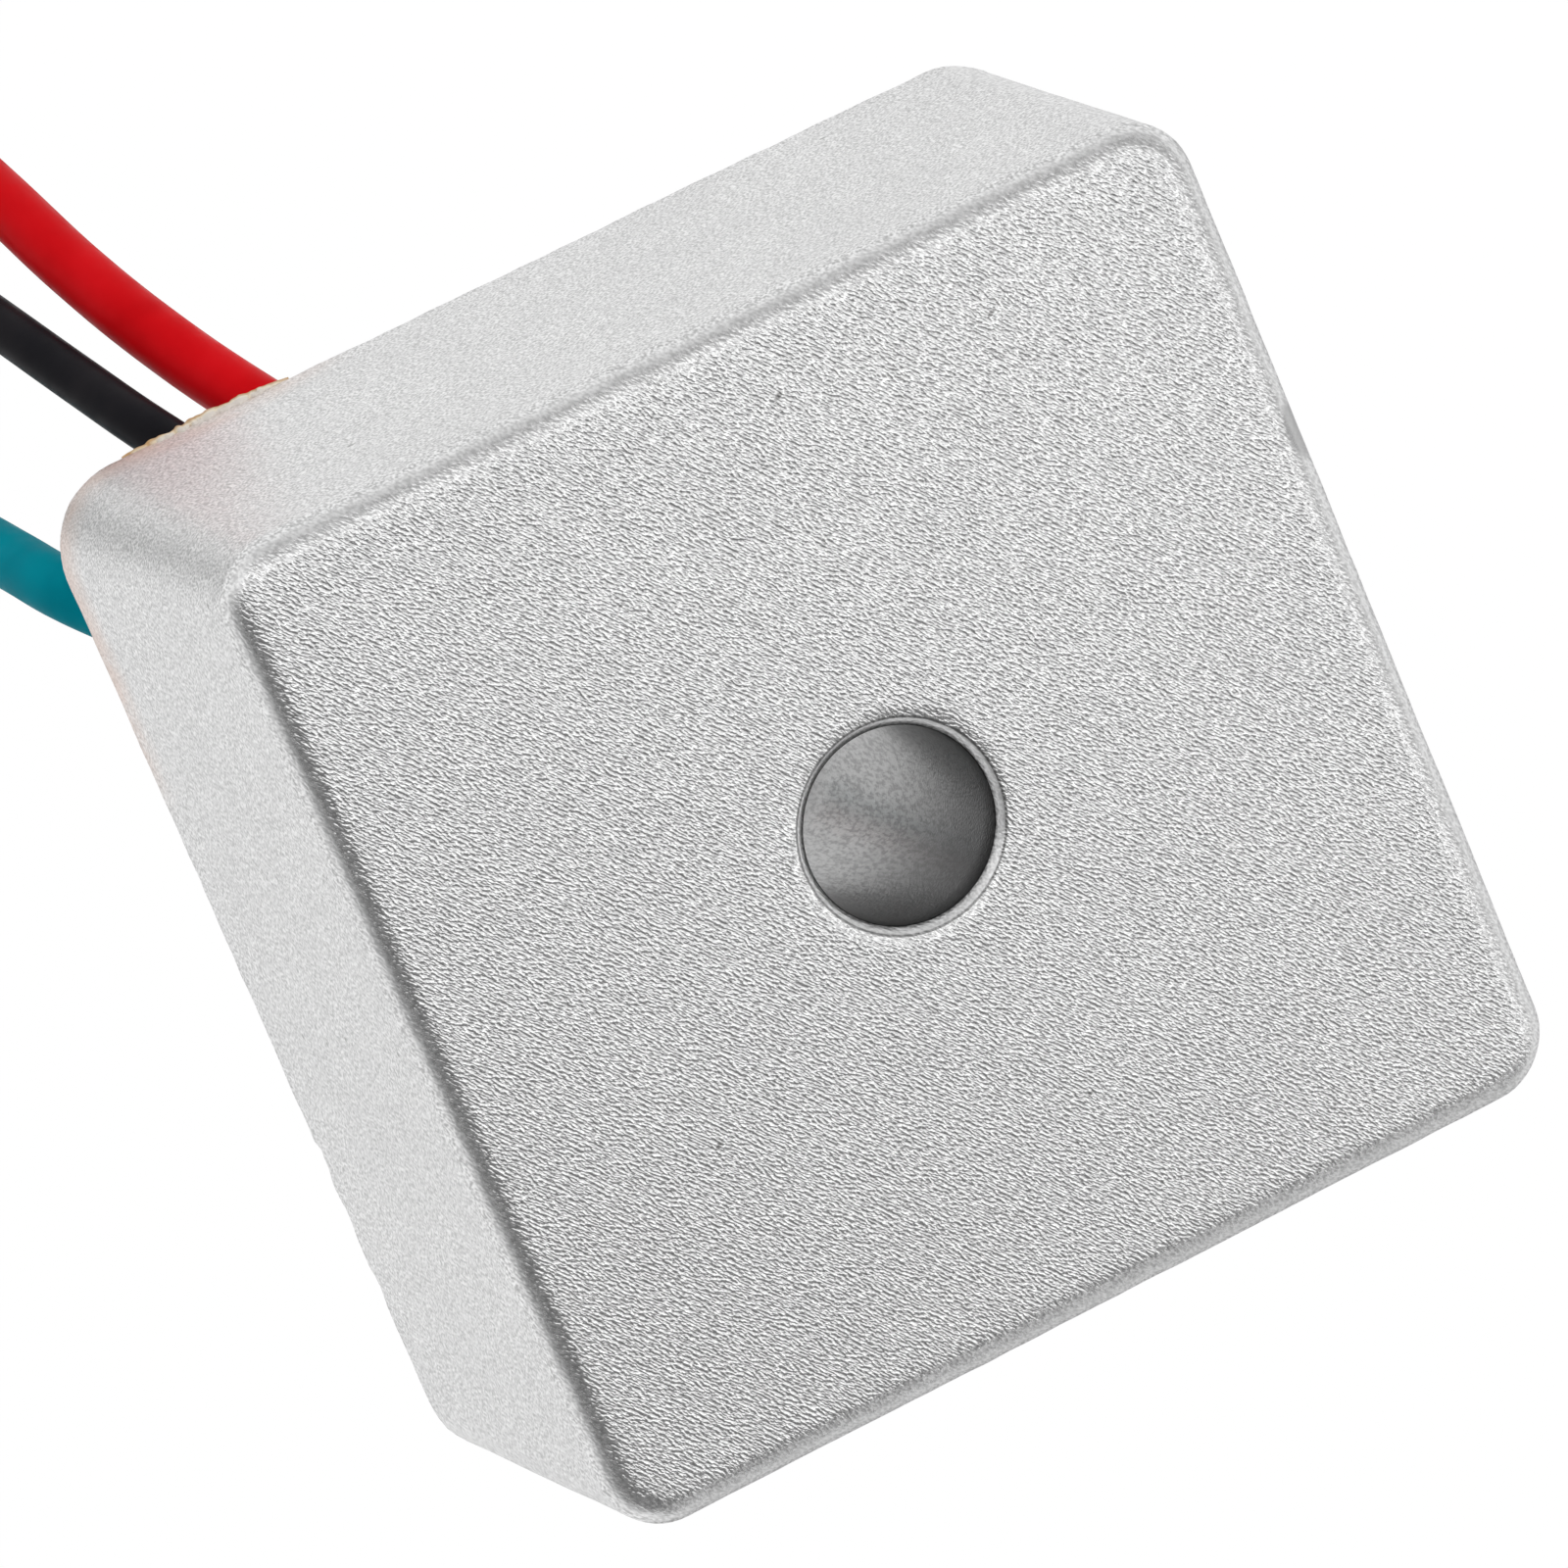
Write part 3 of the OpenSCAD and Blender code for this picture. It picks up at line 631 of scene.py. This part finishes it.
def gob_point(share, a):
    """A point of the gob at a bearing, a share of the way from its middle to its edge."""
    reach = GOB_R * share * (1 + 0.12 * lump(math.cos(a), math.sin(a), 0, 0.6, 8.2))
    x = GOB_AT[0] + reach * math.cos(a)
    y = max(GOB_AT[1] + reach * math.sin(a), GOB_STOP_Y + 0.12 * lump(x, 0, 0, 1.4, 6.6))
    rise = GOB_H * (1 - share ** 2.6)
    rise += (1 - share) * (0.5 * lump(x, y, 0, 2.0, 9.4) + 0.25 * lump(x, y, 0, 0.8, 1.7))
    rise += 0.22 * lump(x, y, 0, 0.7, 3.8)
    return x, y, GOB_LEVEL - max(rise, -0.2)


def gob_loops():
    loops = []
    for i in range(GOB_RINGS + 1):
        share = max(i / GOB_RINGS, 0.004)
        loops.append([gob_point(share, -2 * math.pi * k / GOB_POINTS) for k in range(GOB_POINTS)])
    loops.append([(x, y, GOB_BASE) for x, y, _ in loops[-1]])
    return loops


CRUST_FROM, CRUST_TO, CRUST_STEPS = 11.9, 20.4, 150
CRUST_SAG_X, CRUST_SAG_WIDE = 17.0, 1.6


def crust_outline(out, drop, rise):
    """A ring of the crust, as distances inward and upward from the rim's outer edge."""
    return (
        (0.4, 0.3 + 0.5 * rise), (0.07, rise), (-0.45 * out, 0.6 * rise), (-out, 0.0),
        (0.03 - 0.8 * out, -0.5 * drop), (0.3, -drop), (1.0, -0.02 - 1.05 * drop),
        (2.1, -0.02 - 0.8 * drop), (2.6, 0.2),
    )


def crumbled(x, y, z, body):
    """A point of the crust, moved by the crust's own roughness."""
    return (
        x + 0.05 * lump(x, y, z, 0.3, 1.9),
        y + 0.05 * body * lump(x, y, z, 0.35, 7.1),
        z + 0.07 * body * lump(x, y, z, 0.4, 3.2),
    )


def crust_loops():
    """Rings of the ragged bead of resin on the rim's outer edge under the red and black leads."""
    loops = []
    for i in range(CRUST_STEPS + 1):
        t = i / CRUST_STEPS
        x = CRUST_FROM + (CRUST_TO - CRUST_FROM) * t
        body = max(math.sin(math.pi * t), 0.01) ** 0.55
        ragged = 1 + 0.45 * lump(x, 0, 0, 0.9, 4.7) + 0.35 * lump(x, 0, 0, 0.33, 2.3)
        out = body * 0.22 * ragged
        drop = body * (0.55 + 0.35 * math.exp(-((x - CRUST_SAG_X) / CRUST_SAG_WIDE) ** 2)) * ragged
        rise = body * (0.5 + 0.5 * lump(x, 0, 0, 0.7, 8.8) + 0.4 * lump(x, 0, 0, 0.25, 5.2))
        ring = crust_outline(out, drop, rise)
        loops.append([crumbled(x, inward - RIM_HALF, up - DEPTH, body) for inward, up in ring])
    return loops


def make_potting(mat):
    fill = skin(fill_loops(), closed=True)
    gob = skin(gob_loops(), caps=True)
    crust = skin(crust_loops()[::-1], caps=True)
    return piece("potting_fill", *joined(fill, gob, crust), mat)


# Leads: the routes of the CAD leads, in millimetres

RED_ROUTE = (
    (9.5, -18.5, -17), (9.5, -18.5, -19), (9.9, -19.1, -22), (10.9, -20.6, -25.5), (12.9, -24, -31),
    (14.4, -27.2, -36), (15.5, -30.5, -41.5), (16.3, -34.1, -47.5), (16.9, -37.2, -54), (17.3, -39.6, -61),
    (17.6, -41.2, -68), (17.8, -42, -75), (18, -42.3, -82), (18.2, -42.2, -89), (18.5, -41.9, -96),
    (18.8, -41.5, -103), (19, -41.2, -110), (19.1, -41, -117), (19, -41, -124), (18.8, -41.1, -131),
    (18.6, -41.3, -138), (18.5, -41.5, -145), (18.5, -41.5, -152), (18.5, -41.5, -160),
)
BLACK_ROUTE = (
    (14.2, -18.8, -17), (14.2, -18.8, -19), (14.5, -19.3, -22), (15.4, -20.8, -25.5), (17.3, -24.1, -31),
    (18.5, -26.8, -36.5), (19.7, -29.7, -42.5), (20.7, -32.3, -49), (21.5, -34.4, -55.5), (22.1, -35.9, -62),
    (22.6, -36.8, -69), (23, -37.1, -76), (23.4, -37, -83), (23.8, -36.6, -90), (24.2, -36, -97),
    (24.5, -35.4, -104), (24.7, -34.9, -111), (24.7, -34.6, -118), (24.6, -34.5, -125), (24.5, -34.5, -132),
    (24.5, -34.5, -139), (24.5, -34.5, -146),
)
TEAL_ROUTE = (
    (18.9, -13.7, -17), (18.9, -13.7, -19), (19.4, -14.2, -22), (20.7, -15.6, -25.5), (22.1, -17.1, -29.5),
    (23.4, -18.6, -34), (23.9, -19.6, -40), (24.4, -20.6, -46.5), (25.1, -21.5, -53), (25.9, -22.2, -60),
    (26.8, -22.7, -67), (27.7, -23, -74), (28.5, -23.1, -81), (29.1, -23.1, -88), (29.4, -23, -95),
    (29.5, -22.9, -102), (29.4, -22.8, -109), (29.2, -22.8, -116), (29, -22.9, -123), (28.8, -23, -130),
    (28.7, -23, -137), (28.7, -23, -144), (28.7, -23, -152),
)


def make_lead(name, route, diameter, mat):
    data = bpy.data.curves.new(name, "CURVE")
    data.dimensions = "3D"
    data.bevel_depth = diameter / 2 * MM
    data.bevel_resolution = 7
    data.resolution_u = 6
    data.use_fill_caps = True
    spline = data.splines.new("BEZIER")
    spline.bezier_points.add(len(route) - 1)
    for point, at in zip(spline.bezier_points, route):
        point.co = Vector(at) * MM
        point.handle_left_type = point.handle_right_type = "AUTO"
    data.materials.append(mat)
    obj = bpy.data.objects.new(name, data)
    scene.collection.objects.link(obj)
    return obj


# Ring terminals

EYE_R, EYE_HOLE_R, SHEET_T = 5.8, 3.2, 0.8
EYE_SOFT, EYE_BAND, EYE_POINTS = 0.12, 1.2, 96
BARREL_R, BARREL_L, BARREL_STEPS = 2.0, 6.0, 12
BARREL_MOUTH = ((1.45, 0.7), (1.5, 0.1), (1.62, 0.0), (1.9, 0.0), (2.0, 0.12))
DENT_DEPTH, DENT_WIDE = 0.5, 1.1
NECK_HALF, NECK_L, NECK_EASE_L, NECK_STEPS = 2.2, 3.0, 1.9, 8
NECK_OVERLAP = 0.8
OVAL_POINTS = 48
ROUND, SQUARE = 2.0, 8.0


def oval(wide, thick, at, square=ROUND, shift=0.0):
    """A superellipse in a level plane, anticlockwise seen from above."""
    out = []
    for k in range(OVAL_POINTS):
        a = 2 * math.pi * k / OVAL_POINTS
        c, s = math.cos(a), math.sin(a)
        out.append((at[0] + wide * math.copysign(abs(c) ** (2 / square), c),
                    at[1] + shift + thick * math.copysign(abs(s) ** (2 / square), s), at[2]))
    return out


def barrel_loops(end):
    """The barrel on a lead's end, with the crimp's dent, and the neck that it flattens into."""
    x, y, z = end
    loops = [oval(r, r, (x, y, z - down)) for r, down in BARREL_MOUTH]
    for i in range(1, BARREL_STEPS):
        down = BARREL_L * i / BARREL_STEPS
        dent = DENT_DEPTH * math.exp(-((down - BARREL_L / 2) / DENT_WIDE) ** 2)
        wide, thick = BARREL_R + 0.15 * dent, BARREL_R - 0.5 * dent
        loops.append(oval(wide, thick, (x, y, z - down), shift=-0.4 * dent))
    for i in range(NECK_STEPS + 1):
        t = i / NECK_STEPS
        wide = BARREL_R + (NECK_HALF - BARREL_R) * ease(t)
        thick = BARREL_R + (SHEET_T / 2 - BARREL_R) * ease(t)
        at = (x, y, z - BARREL_L - NECK_EASE_L * t)
        loops.append(oval(wide, thick, at, square=ROUND + (SQUARE - ROUND) * ease(t)))
    loops.append(oval(NECK_HALF, SHEET_T / 2, (x, y, z - BARREL_L - NECK_L - NECK_OVERLAP), square=SQUARE))
    return loops


def eye_loops(end):
    """The flat ring below the neck, as an outline turned about the hole's middle."""
    x, y, z = end
    middle = z - BARREL_L - NECK_L - EYE_R
    half, soft = SHEET_T / 2, EYE_SOFT
    outline = (
        (EYE_HOLE_R, -half + soft), (EYE_HOLE_R + soft, -half), (EYE_R - EYE_BAND, -half),
        (EYE_R - soft, -half), (EYE_R, -half + soft), (EYE_R, half - soft), (EYE_R - soft, half),
        (EYE_R - EYE_BAND, half), (EYE_HOLE_R + soft, half), (EYE_HOLE_R, half - soft),
    )
    turns = [2 * math.pi * k / EYE_POINTS for k in range(EYE_POINTS)]
    return [[(x + r * math.cos(a), y + off, middle + r * math.sin(a)) for a in turns] for r, off in outline]


def make_terminal(name, end, mat):
    barrel = skin(barrel_loops(end), caps=True)
    eye = skin(eye_loops(end), closed=True)
    return piece(name, *joined(barrel, eye), mat)


# Shrink sleeves, which reach from the lead down over the barrel

SLEEVE_UP, SLEEVE_DOWN, SLEEVE_T = 6.0, 5.0, 0.5
LEAD_GAP, BARREL_GAP = 0.06, 0.03
MOUTH_IN, MOUTH_EDGE, MOUTH_EASE, MOUTH_LIP = 0.4, 0.12, 0.15, 0.1
TAPER_FROM, TAPER_L, TAPER_STEPS = -0.4, 2.2, 8
RING_STEP = 0.6


def sleeve_outline(slim, wide):
    """Height above the lead's end and radius, going up the outside of a sleeve."""
    over_lead, over_barrel = slim + SLEEVE_T, wide + SLEEVE_T
    outline = [
        (-SLEEVE_DOWN, wide + MOUTH_LIP), (-SLEEVE_DOWN, over_barrel - MOUTH_EDGE),
        (MOUTH_EASE - SLEEVE_DOWN, over_barrel),
    ]
    outline += [(RING_STEP * i - SLEEVE_DOWN, over_barrel) for i in range(1, 8)]
    for i in range(1, TAPER_STEPS + 1):
        t = i / TAPER_STEPS
        outline.append((TAPER_FROM + TAPER_L * t, over_barrel + (slim - wide) * ease(t)))
    outline += [(2.6 + RING_STEP * i, over_lead) for i in range(5)]
    outline += [
        (SLEEVE_UP - MOUTH_EASE, over_lead), (SLEEVE_UP, over_lead - MOUTH_EDGE),
        (SLEEVE_UP, slim + MOUTH_LIP),
    ]
    return outline


def swollen(point, end):
    """A point of a sleeve's outside, moved by the sleeve's uneven shrinking."""
    swell = 1 + waved(point, 0.018, 1.5, 2.2)
    return end[0] + (point[0] - end[0]) * swell, end[1] + (point[1] - end[1]) * swell, point[2]


def make_sleeve(name, end, lead_d, mat):
    x, y, z = end
    slim, wide = lead_d / 2 + LEAD_GAP, BARREL_R + BARREL_GAP
    loops = [oval(wide, wide, (x, y, z - SLEEVE_DOWN + MOUTH_IN))]
    for up, r in sleeve_outline(slim, wide):
        loops.append([swollen(point, end) for point in oval(r, r, (x, y, z + up))])
    for up, r in ((SLEEVE_UP - MOUTH_IN, slim), (0.3, slim), (0.0, wide)):
        loops.append(oval(r, r, (x, y, z + up)))
    return piece(name, *skin(loops[::-1], closed=True), mat)


# Studio: white floor and surroundings, one soft lamp, and the ceiling and the cards that the metal reflects

SKY_COLOR, SKY_STRENGTH = (0.95, 0.97, 1.0, 1), 0.55
FLOOR_HALF, FLOOR_Z = 6.0, -0.24
FLOOR_COLOR, FLOOR_GLOW, FLOOR_GLOW_SHARE = (0.9, 0.9, 0.9, 1), 1.02, 0.94


def bare_material(name):
    """A new material and its empty node tree."""
    mat = bpy.data.materials.new(name)
    mat.use_nodes = True
    mat.node_tree.nodes.clear()
    return mat, mat.node_tree


def mix_shaders(tree, share, a, b):
    inputs = {0: share, 1: a.outputs[0], 2: b.outputs[0]}
    return add_node(tree, "ShaderNodeMixShader", inputs)


def seen_rays(tree):
    """1 for rays that show the surroundings: from the camera, or off metal or through glass."""
    path = add_node(tree, "ShaderNodeLightPath").outputs
    value = path["Is Camera Ray"]
    for name in ("Is Glossy Ray", "Is Transmission Ray"):
        value = add_node(tree, "ShaderNodeMath", {0: value, 1: path[name]}, operation="MAXIMUM").outputs[0]
    return value


def stage_plane(name, corners, mat):
    data = bpy.data.meshes.new(name)
    data.from_pydata(corners, [], [(0, 1, 2, 3)])
    data.materials.append(mat)
    plane = bpy.data.objects.new(name, data)
    scene.collection.objects.link(plane)
    return plane


def level_square(half, z):
    return [(-half, -half, z), (half, -half, z), (half, half, z), (-half, half, z)]


def make_world():
    """Surroundings that look white and light the part more dimly."""
    world = bpy.data.worlds.new("studio")
    scene.world = world
    world.use_nodes = True
    tree = world.node_tree
    tree.nodes.clear()
    dim = add_node(tree, "ShaderNodeBackground", {"Color": SKY_COLOR, "Strength": SKY_STRENGTH})
    white = add_node(tree, "ShaderNodeBackground", {"Color": (1, 1, 1, 1), "Strength": 1.0})
    both = mix_shaders(tree, seen_rays(tree), dim, white)
    add_node(tree, "ShaderNodeOutputWorld", {"Surface": both.outputs[0]})


def make_floor():
    """Floor that looks white from above and can be looked through from below."""
    mat, tree = bare_material("floor")
    diffuse = add_node(tree, "ShaderNodeBsdfDiffuse", {"Color": FLOOR_COLOR})
    glow = add_node(tree, "ShaderNodeEmission", {"Strength": FLOOR_GLOW})
    share = add_node(tree, "ShaderNodeMath", {0: seen_rays(tree), 1: FLOOR_GLOW_SHARE}, operation="MULTIPLY")
    top = mix_shaders(tree, share.outputs[0], diffuse, glow)
    behind = add_node(tree, "ShaderNodeNewGeometry").outputs["Backfacing"]
    sided = mix_shaders(tree, behind, top, add_node(tree, "ShaderNodeBsdfTransparent"))
    add_node(tree, "ShaderNodeOutputMaterial", {"Surface": sided.outputs[0]})
    stage_plane("floor", level_square(FLOOR_HALF, FLOOR_Z), mat)


# Ceiling: its brightness by the distance in metres towards the softbox

CEILING_HALF, CEILING_Z = 10.0, 3.0
SOFTBOX_TOWARDS = (-0.607, -0.795, 0.0)
CEILING_LEVELS = (
    (-10.0, 0.6), (-5.0, 0.42), (-2.4, 0.27), (-1.2, 0.22), (-0.36, 0.25), (0.14, 2.36), (0.5, 1.56),
    (0.9, 1.0), (1.6, 0.74), (2.4, 0.62), (10.0, 0.58),
)


def make_ceiling():
    """Dark ceiling with a softbox across it, for the metal to reflect; the camera looks past it."""
    mat, tree = bare_material("ceiling")
    place = add_node(tree, "ShaderNodeTexCoord").outputs["Object"]
    along = add_node(tree, "ShaderNodeVectorMath", {0: place, 1: SOFTBOX_TOWARDS}, operation="DOT_PRODUCT")
    inputs = {"Value": along.outputs["Value"], "From Min": -CEILING_HALF, "From Max": CEILING_HALF}
    share = add_node(tree, "ShaderNodeMapRange", inputs).outputs["Result"]
    levels = add_node(tree, "ShaderNodeValToRGB", {"Fac": share})
    stops = []
    for at, level in CEILING_LEVELS:
        stops.append(((at + CEILING_HALF) / (2 * CEILING_HALF), (level, level, level, 1)))
    set_stops(levels, stops)
    glow = add_node(tree, "ShaderNodeEmission", {"Color": levels.outputs["Color"]})
    add_node(tree, "ShaderNodeOutputMaterial", {"Surface": glow.outputs[0]})
    ceiling = stage_plane("ceiling", level_square(CEILING_HALF, CEILING_Z)[::-1], mat)
    ceiling.visible_camera = False


# Cards: name, corners, the middle and the reach of the glow, and the glow there and past its reach

CORNER_CARD_AT, CORNER_CARD_LONG, CORNER_CARD_WIDE = (0.078, -0.076, -0.19), 0.07, 0.05
CORNER_CARD_GLOW = (0.06, 0.24, 1.0)
SLANT = 0.707
CARD_Z, WALL_CARD_Y, WALL_CARD_TOP = -0.235, 2.2, 2.9
EDGE_CARDS = (
    ("near_card", ((-0.03, 0, CARD_Z), (0, 0, CARD_Z), (0.6, 3, CARD_Z), (-1.5, 3, CARD_Z)),
     (0, 0, CARD_Z), 1.5, 0.56, 0.56),
    ("far_card", ((-0.03, 0, CARD_Z), (-1.5, 3, CARD_Z), (-3, 3, CARD_Z), (-3, -0.6, CARD_Z)),
     (0, 0, CARD_Z), 1.5, 0.7, 0.75),
    ("wall_card", ((-1.6, WALL_CARD_Y, CARD_Z), (-0.25, WALL_CARD_Y, CARD_Z),
                   (-0.25, WALL_CARD_Y, WALL_CARD_TOP), (-1.6, WALL_CARD_Y, WALL_CARD_TOP)),
     (-0.8, WALL_CARD_Y, WALL_CARD_TOP), 2.9, 0.85, 0.6),
)


def make_card(name, corners, centre, reach, low, high):
    """Plane that the metal alone reflects, with a glow of low at its centre and high past the reach."""
    mat, tree = bare_material(name)
    place = add_node(tree, "ShaderNodeTexCoord").outputs["Object"]
    off = add_node(tree, "ShaderNodeVectorMath", {0: place, 1: centre}, operation="DISTANCE")
    inputs = {"Value": off.outputs["Value"], "From Max": reach, "To Min": low, "To Max": high}
    level = add_node(tree, "ShaderNodeMapRange", inputs, interpolation_type="SMOOTHSTEP").outputs["Result"]
    glow = add_node(tree, "ShaderNodeEmission", {"Strength": level})
    add_node(tree, "ShaderNodeOutputMaterial", {"Surface": glow.outputs[0]})
    card = stage_plane(name, corners, mat)
    card.visible_camera = False
    card.visible_diffuse = False
    card.visible_shadow = False


def make_cards():
    """Grey cards out of the camera's sight, for the lead corner and for the far edges to reflect."""
    x, y, z = CORNER_CARD_AT
    corners = []
    for a, b in ((-1, -1), (1, -1), (1, 1), (-1, 1)):
        along, across = a * CORNER_CARD_LONG, b * CORNER_CARD_WIDE
        corners.append((x + SLANT * (along + across), y + SLANT * (along - across), z))
    make_card("corner_card", corners, CORNER_CARD_AT, *CORNER_CARD_GLOW)
    for card in EDGE_CARDS:
        make_card(*card)


# Key lamp: soft, and not reflected by the metal

KEY_AT, KEY_TOWARDS = (-0.41, -0.53, 0.62), (0, 0, -0.01)
KEY_SIZE, KEY_POWER = 0.6, 2.4


def make_key_lamp():
    data = bpy.data.lights.new("key", "AREA")
    data.shape = "SQUARE"
    data.size = KEY_SIZE
    data.energy = KEY_POWER
    lamp = bpy.data.objects.new("key", data)
    lamp.location = KEY_AT
    lamp.rotation_mode = "QUATERNION"
    lamp.rotation_quaternion = (Vector(KEY_TOWARDS) - Vector(KEY_AT)).to_track_quat("-Z", "Y")
    lamp.visible_glossy = False
    scene.collection.objects.link(lamp)


# The making

red_coat = insulation("red_insulation", (198, 4, 14), (210, 10, 20), (218, 18, 28), 0.035)
black_coat = insulation("black_insulation", (18, 17, 20), (24, 23, 27), (33, 30, 33), 0.04)
teal_coat = insulation("teal_insulation", (0, 130, 147), (0, 141, 158), (0, 148, 165), 0.004)
tin = tinned_metal()
sleeve_skin = shrink_sleeve()

leads = (
    ("red", RED_ROUTE, 2.9, red_coat, 0.149),
    ("black", BLACK_ROUTE, 2.3, black_coat, 0.134),
    ("teal", TEAL_ROUTE, 2.9, teal_coat, 0.137),
)
for colour, route, diameter, coat, length in leads:
    lead = make_lead(colour + "_wire", route, diameter, coat)
    terminal = make_terminal(colour + "_ring_terminal", route[-1], tin)
    sleeve = make_sleeve(colour + "_shrink_sleeve", route[-1], diameter, sleeve_skin)
    dressed = (
        (lead, colour + "_lead", colour + "_insulation"),
        (terminal, colour + "_terminal", "tinned_metal"),
        (sleeve, colour + "_sleeve", "sleeve"),
    )
    for obj, node, slot in dressed:
        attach(obj, "root")
        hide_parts(node)

housing = make_housing(cast_aluminium())
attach(housing, "root")
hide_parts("housing")
potting = make_potting(resin())
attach(potting, "root")
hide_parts("potting_compound")
dress_nodes()

make_world()
make_floor()
make_ceiling()
make_cards()
make_key_lamp()
